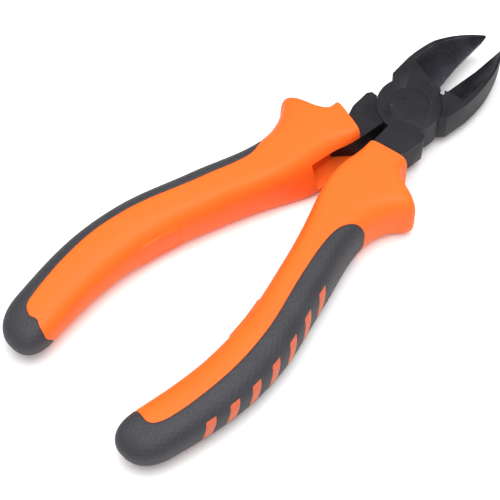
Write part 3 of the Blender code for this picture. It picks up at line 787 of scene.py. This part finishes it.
def grip_grid(settings, start):
    """Distances and angles of a grip's grid, with stations crowding into the rounded end."""
    steps = settings.stations
    end_steps = steps // 6
    straight = np.linspace(start, GRIP_END - END_ROUNDING, steps - end_steps)
    rounded = np.sin(np.linspace(0, math.pi / 2, end_steps + 1))[1:]
    distance = np.concatenate([straight, GRIP_END - END_ROUNDING + END_ROUNDING * rounded])
    angle = np.linspace(0, math.tau, settings.section_points, endpoint=False)
    return distance, angle


def moulded_frame(points):
    """Height, from 0 to 1, of a plain rounded frame on the sleeve's inner side.

    It is 1 where the distance from a rounded rectangle's outline is under half a line's width.
    """
    past_x = np.abs(points[..., 0] - FRAME_CENTRE[0]) - FRAME_HALF[0] + FRAME_CORNER
    past_z = np.abs(points[..., 2] - FRAME_CENTRE[1]) - FRAME_HALF[1] + FRAME_CORNER
    outside = np.hypot(np.maximum(past_x, 0), np.maximum(past_z, 0))
    inside = np.minimum(np.maximum(past_x, past_z), 0)
    away = np.abs(outside + inside - FRAME_CORNER)
    return smooth_step((FRAME_LINE - away) / FRAME_EDGE)


def sleeve(name, settings):
    """Firm sleeve: the whole grip's form, sunk under the soft panel, with a fillet round its mouth."""
    fillet = settings.mouth_fillet / MM
    distance, angle = grip_grid(settings, GRIP_START + fillet)
    turn = np.linspace(0, math.pi / 2, 7)[:-1]
    distance = np.concatenate([GRIP_START + fillet * (1 - np.cos(turn)), distance[:-1]])
    inset = np.concatenate([fillet * (1 - np.sin(turn)), np.zeros(len(distance) - len(turn))])
    d, a = np.meshgrid(distance, angle, indexing="ij")
    points = grip_point(d, a, inset[:, None])
    normal = grip_normal(np.maximum(d, GRIP_START + 0.1), a)
    side = panel_side(points)
    seam, depth = settings.seam_width / MM, settings.panel_depth / MM
    dip = settings.seam_depth / MM * smooth_step(1 + side / seam)
    sunk = (depth + 0.1 - settings.seam_depth / MM) * smooth_step(side / 1.2)
    on_inner_side = normal[..., 1] < -0.5
    raised = settings.frame_height / MM * moulded_frame(points) * on_inner_side
    points = points + normal * (raised - dip - sunk)[..., None]
    rings, around = points.shape[:2]
    pole = np.array([[-(GRIP_END - depth - 0.1), points[-1, :, 1].mean(), MIDDLE]])
    faces = [*tube_faces(rings, around), *pole_faces(rings, around), np.arange(around)]
    return mesh_object(name, np.concatenate([points.reshape(-1, 3), pole]), faces)


def bar_plan():
    """Plan of the room for the steel bar: a band of even width along the grip's middle line."""
    distance = np.linspace(24, BAR_ROOM_END, 30)
    middle = (curve_through(GRIP_OUTER, distance) + curve_through(GRIP_INNER, distance)) / 2
    slope = np.gradient(middle, distance)
    across = np.stack([slope, np.ones_like(slope)], 1) / np.hypot(slope, 1)[:, None]
    line = np.stack([-distance, middle], 1)
    half = BAR_ROOM_WIDTH / 2
    return np.concatenate([line + across * half, (line - across * half)[::-1]])


def hollowed(obj):
    """Cuts the room for the tang, its bar and the open channel out of a sleeve."""
    low, high = MIDDLE - TANG_ROOM_HALF_HEIGHT, MIDDLE + TANG_ROOM_HALF_HEIGHT
    cut(obj, prism("tang_room", np.array(TANG_ROOM), low, high))
    mouth = -GRIP_START + 2
    channel = ((mouth, -2), (-CHANNEL_END, -2), (-CHANNEL_END, CHANNEL_DEPTH), (mouth, CHANNEL_DEPTH))
    cut(obj, prism("channel", np.array(channel), low + 0.02, high - 0.02))
    half = BAR_ROOM_HEIGHT / 2
    cut(obj, prism("bar_room", bar_plan(), MIDDLE - half, MIDDLE + half))
    return obj


def settled_on_border(distance, angle):
    """Grid of distances and angles whose points nearest the panel's border are moved onto it.

    Each move is one step of Newton's rule along the grid: minus the signed distance times its slope over
    the slope squared. Also gives the signed distances, with exactly 0 on the border.
    """
    d, a = (grid.copy() for grid in np.meshgrid(distance, angle, indexing="ij"))
    step_d = np.gradient(distance)[:, None] * np.ones_like(a)
    step_a = angle[1] - angle[0]
    side = panel_side(grip_point(d, a))
    slope_i = np.gradient(side, axis=0)
    slope_j = (np.roll(side, -1, 1) - np.roll(side, 1, 1)) / 2
    steep = np.maximum(slope_i**2 + slope_j**2, 1e-9)
    near = np.abs(side) < 0.5 * np.maximum(np.abs(slope_i), np.abs(slope_j)) + 0.02
    for _ in range(3):
        move_i, move_j = -side * slope_i / steep, -side * slope_j / steep
        d = np.where(near, d + np.clip(move_i, -0.5, 0.5) * step_d, d)
        a = np.where(near, a + np.clip(move_j, -0.5, 0.5) * step_a, a)
        side = panel_side(grip_point(d, a))
    return d, a, np.where(near, 0.0, side)


def closed_shell(name, outer, inner, faces, uv):
    """Solid between two surfaces with the same corners, walled along their open border."""
    keys, count = [], len(outer)
    for group in faces:
        start, end = group, np.roll(group, -1, axis=1)
        keys.append(np.stack([start.ravel(), end.ravel()], 1))
    edges = np.concatenate(keys)
    open_edge = ~np.isin(edges[:, 0] * count + edges[:, 1], edges[:, 1] * count + edges[:, 0])
    a, b = edges[open_edge].T
    walls = np.column_stack([b, a, a + count, b + count])
    inner_faces = [row for group in faces for row in group[:, ::-1] + count]
    all_faces = [*(row for group in faces for row in group), *inner_faces, *walls]
    points = np.concatenate([outer, inner])
    used, again = np.unique(np.concatenate([face.ravel() for face in all_faces]), return_inverse=True)
    sizes = np.cumsum([len(face) for face in all_faces])[:-1]
    return mesh_object(name, points[used], np.split(again, sizes), np.concatenate([uv, uv])[used])


def soft_panel(name, settings):
    """Soft panel: the part of the grip's surface inside the border, as thick as the sleeve is sunk."""
    distance, angle = grip_grid(settings, PANEL_START)
    d, a, side = settled_on_border(distance[:-1], angle)
    points, normal = grip_point(d, a), grip_normal(d, a)
    lip = settings.seam_depth / MM * (1 - smooth_step(side / (settings.seam_width / MM)))
    thick = 0.3 + (settings.panel_depth / MM - 0.3) * smooth_step((side - 0.2) / 1.4)
    outer = points - normal * lip[..., None]
    inner = points - normal * (lip + thick)[..., None]
    rings, around = d.shape
    quads = tube_faces(rings, around)
    kind = np.sign(side).astype(int).ravel()[quads]
    whole = (kind >= 0).all(1)
    clipped = (kind < 0).sum(1) == 1
    missing = kind.argmin(1)
    corner = (missing[:, None] + np.arange(1, 4)) % 4
    triples = np.take_along_axis(quads, corner, axis=1)[clipped]
    triples = triples[(np.sign(side).astype(int).ravel()[triples] > 0).any(1)]
    middle = points[-1].mean(0)
    pole = np.array([[-GRIP_END, middle[1], MIDDLE]])
    outer = np.concatenate([outer.reshape(-1, 3), pole])
    inner = np.concatenate([inner.reshape(-1, 3), pole + (settings.panel_depth / MM, 0, 0)])
    arc = (a + math.pi) % math.tau - math.pi
    uv = np.concatenate([np.stack([d, arc * HATCH_RADIUS], -1).reshape(-1, 2), [[GRIP_END, 0]]])
    return closed_shell(name, outer, inner, [quads[whole], triples, pole_faces(rings, around)], uv)


def inlay_bar(centre, settings):
    """Points and faces of one slanted bar, a closed shell just proud of the panel.

    It is a grid of two parameters: p across the bar and q round the grip, with the distance shifted by
    q times the slant. Both ends are pointed by a slope in p.
    """
    p, q = np.meshgrid(np.linspace(-0.5, 0.5, 9), np.linspace(-0.5, 0.5, 19), indexing="ij")
    distance = centre + INLAY_WIDTH * p + INLAY_SLANT * q
    angle = INLAY_TURN + INLAY_SPAN * q
    points, normal = grip_point(distance, angle), grip_normal(distance, angle)
    edge = 1 - smooth_step(np.minimum(0.5 - np.abs(p), (0.5 - np.abs(q)) * 3) / 0.12)
    proud = 0.07 - 0.10 * edge
    outer, inner = points + normal * proud[..., None], points - normal * 0.25
    return outer.reshape(-1, 3), inner.reshape(-1, 3), grid_faces(*p.shape)


# ---- Operators ----------------------------------------------------------------------------------


class PLIERS_OT_levers(bpy.types.Operator):
    """Add the two forged levers with their hollow-ground jaws"""

    bl_idname = "pliers.levers"
    bl_label = "Levers"

    def execute(self, context):
        settings = context.scene.pliers_steel
        light, dark, edge_wear_and_highlight = settings.colour, settings.colour_dark, settings.colour_edge_wear_and_highlight
        finishes = (
            phosphated_steel("phosphated_steel", light, dark, 0.56),
            # Handling rubs the phosphate thin along edges, so they are lighter and smoother; the lighter
            # colour is also a painted highlight on the edge breaks and along each hollow's ridge and rim
            phosphated_steel("steel_edge_wear_and_painted_highlight", edge_wear_and_highlight, light, 0.46),
            phosphated_steel("ground_steel", settings.colour_ground, dark, 0.50, (1.0, 0.07, 0.3)),
        )
        ground_lever("front_lever", "front_lever_forging", 1, FRONT, settings, finishes)
        ground_lever("rear_lever", "rear_lever_forging", -1, REAR, settings, finishes)
        return {"FINISHED"}


class PLIERS_OT_rivet(bpy.types.Operator):
    """Add the flush pivot rivet"""

    bl_idname = "pliers.rivet"
    bl_label = "Rivet"

    def execute(self, context):
        settings = context.scene.pliers_steel
        steel = phosphated_steel("phosphated_rivet_steel", settings.colour, settings.colour_dark, 0.54)
        # The chamfers' lighter colour is partly wear and partly a painted highlight
        edge_wear_and_highlight = phosphated_steel("rivet_edge_wear_and_painted_highlight", settings.colour_edge_wear_and_highlight, settings.colour, 0.46)
        chamfer = settings.rivet_chamfer / MM
        head, rim, cone, shank = RIVET_RADIUS + 0.03, 0.6, 1.4, RIVET_RADIUS - 2.0
        half = [(0.6 * head, 0.0), (0.9 * head, 0.01), (head - chamfer, 0.02), (head, 0.02 + chamfer)]
        half += [(head, rim), (shank, rim + cone)]
        profile = half + [(radius, HEAD - height) for radius, height in reversed(half)]
        rivet = lathed("flush_rivet", profile, 128)
        smooth_below(rivet, 30)
        finished(rivet, REAR, "black_steel", "pivot_rivet", steel, edge_wear_and_highlight)
        faces = rivet.data.polygons
        centre, normal = np.empty((2, 3 * len(faces)), np.float32)
        faces.foreach_get("center", centre)
        faces.foreach_get("normal", normal)
        radius = np.hypot(*centre.reshape(-1, 3).T[:2])
        on_chamfer = (radius > (head - chamfer) * MM) & (np.abs(normal[2::3]) > 0.3)
        faces.foreach_set("material_index", on_chamfer.astype(np.int32))
        return {"FINISHED"}


class PLIERS_OT_sleeves(bpy.types.Operator):
    """Add the firm sleeve of each grip"""

    bl_idname = "pliers.sleeves"
    bl_label = "Sleeves"

    def execute(self, context):
        settings = context.scene.pliers_grip
        plastic = moulded_polypropylene("moulded_polypropylene", settings.orange)
        rear = hollowed(sleeve("rear_sleeve", settings))
        smooth_below(rear, 40)
        front = turned_copy(rear, "front_sleeve")
        finished(rear, REAR, "orange_core", "rear_grip_core", plastic)
        finished(front, FRONT, "orange_core", "front_grip_core", plastic)
        return {"FINISHED"}


class PLIERS_OT_panels(bpy.types.Operator):
    """Add the soft panel of each grip"""

    bl_idname = "pliers.panels"
    bl_label = "Soft panels"

    def execute(self, context):
        settings = context.scene.pliers_grip
        rubber = soft_elastomer("hatched_soft_elastomer", settings.grey, settings.hatch_pitch / MM)
        rear = soft_panel("rear_soft_panel", settings)
        front = turned_copy(rear, "front_soft_panel")
        finished(rear, REAR, "grey_overmould", "rear_grip_overmould", rubber)
        finished(front, FRONT, "grey_overmould", "front_grip_overmould", rubber)
        return {"FINISHED"}


class PLIERS_OT_inlays(bpy.types.Operator):
    """Add the row of plain slanted bars inlaid in the front grip's panel"""

    bl_idname = "pliers.inlays"
    bl_label = "Inlaid bars"

    def execute(self, context):
        settings = context.scene.pliers_grip
        rubber = inlaid_elastomer("inlaid_elastomer", settings.mark)
        for number, centre in enumerate(np.linspace(*INLAY_CENTRES, INLAY_COUNT)):
            outer, inner, quads = inlay_bar(centre, settings)
            uv = np.zeros((len(outer), 2))
            outer, inner = turned_over(outer), turned_over(inner)
            bar = closed_shell(f"inlaid_bar_{number + 1}", outer, inner, [quads], uv)
            finished(bar, FRONT, "orange_core", None, rubber)
        return {"FINISHED"}


class PLIERS_OT_stage(bpy.types.Operator):
    """Add the floor, the room's light, the lamp and the camera"""

    bl_idname = "pliers.stage"
    bl_label = "Stage"

    def execute(self, context):
        scene, settings = context.scene, context.scene.pliers_stage
        size = 3000.0
        corners = np.array([(-size, -size), (size, -size), (size, size), (-size, size)])
        level = CAD_LOW.z / MM - 0.05
        floor = mesh_object("floor", np.column_stack([corners, np.full(4, level)]), [np.arange(4)])
        floor.data.materials.append(painted_floor("painted_floor", settings.floor))

        world = bpy.data.worlds.new("pale_room")
        world.use_nodes = True
        back = world.node_tree.nodes["Background"]
        back.inputs["Color"].default_value = linear("#ffffff")
        back.inputs["Strength"].default_value = settings.world_strength
        scene.world = world

        lamp = bpy.data.lights.new("overhead_softbox", "AREA")
        lamp.shape, lamp.size, lamp.energy = "DISK", 0.9, settings.key_power
        key = bpy.data.objects.new("overhead_softbox", lamp)
        key.location = (-0.12, -0.05, 0.85)
        key.rotation_euler = (Vector((-0.05, 0, 0)) - key.location).to_track_quat("-Z", "Y").to_euler()
        scene.collection.objects.link(key)

        camera = bpy.data.objects.new("camera", bpy.data.cameras.new("camera"))
        camera.data.lens, camera.data.sensor_width = settings.lens, 36
        azimuth, elevation = math.radians(settings.azimuth), math.radians(settings.elevation)
        back = Vector((
            math.sin(azimuth) * math.cos(elevation),
            -math.cos(azimuth) * math.cos(elevation),
            math.sin(elevation),
        ))
        camera.location = Vector(settings.aim) + back * settings.distance
        roll = Matrix.Rotation(math.radians(settings.roll), 3, "Z")
        aim = (-back).to_track_quat("-Z", "Y").to_matrix() @ roll
        camera.rotation_euler = aim.to_euler()
        scene.collection.objects.link(camera)
        scene.camera = camera
        scene.view_settings.view_transform = "Standard"
        return {"FINISHED"}


class PLIERS_PT_panel(bpy.types.Panel):
    """Lists the pliers' settings and steps"""

    bl_idname = "PLIERS_PT_panel"
    bl_label = "Diagonal cutting pliers"
    bl_space_type = "VIEW_3D"
    bl_region_type = "UI"
    bl_category = "Pliers"

    def draw(self, context):
        for group in (context.scene.pliers_steel, context.scene.pliers_grip, context.scene.pliers_stage):
            box = self.layout.box()
            for name in group.bl_rna.properties.keys():
                if name not in {"rna_type", "name"}:
                    box.prop(group, name)
        for step in OPERATORS:
            self.layout.operator(step.bl_idname)


OPERATORS = (
    PLIERS_OT_stage,
    PLIERS_OT_levers,
    PLIERS_OT_rivet,
    PLIERS_OT_sleeves,
    PLIERS_OT_panels,
    PLIERS_OT_inlays,
)
CLASSES = (SteelSettings, GripSettings, StageSettings, *OPERATORS, PLIERS_PT_panel)


def register():
    for each in CLASSES:
        bpy.utils.register_class(each)
    bpy.types.Scene.pliers_steel = PointerProperty(type=SteelSettings)
    bpy.types.Scene.pliers_grip = PointerProperty(type=GripSettings)
    bpy.types.Scene.pliers_stage = PointerProperty(type=StageSettings)


def unregister():
    del bpy.types.Scene.pliers_stage
    del bpy.types.Scene.pliers_grip
    del bpy.types.Scene.pliers_steel
    for each in reversed(CLASSES):
        bpy.utils.unregister_class(each)


def main():
    register()
    bpy.ops.pliers.stage()
    bpy.ops.pliers.levers()
    bpy.ops.pliers.rivet()
    bpy.ops.pliers.sleeves()
    bpy.ops.pliers.panels()
    bpy.ops.pliers.inlays()


if __name__ == "__main__":
    main()
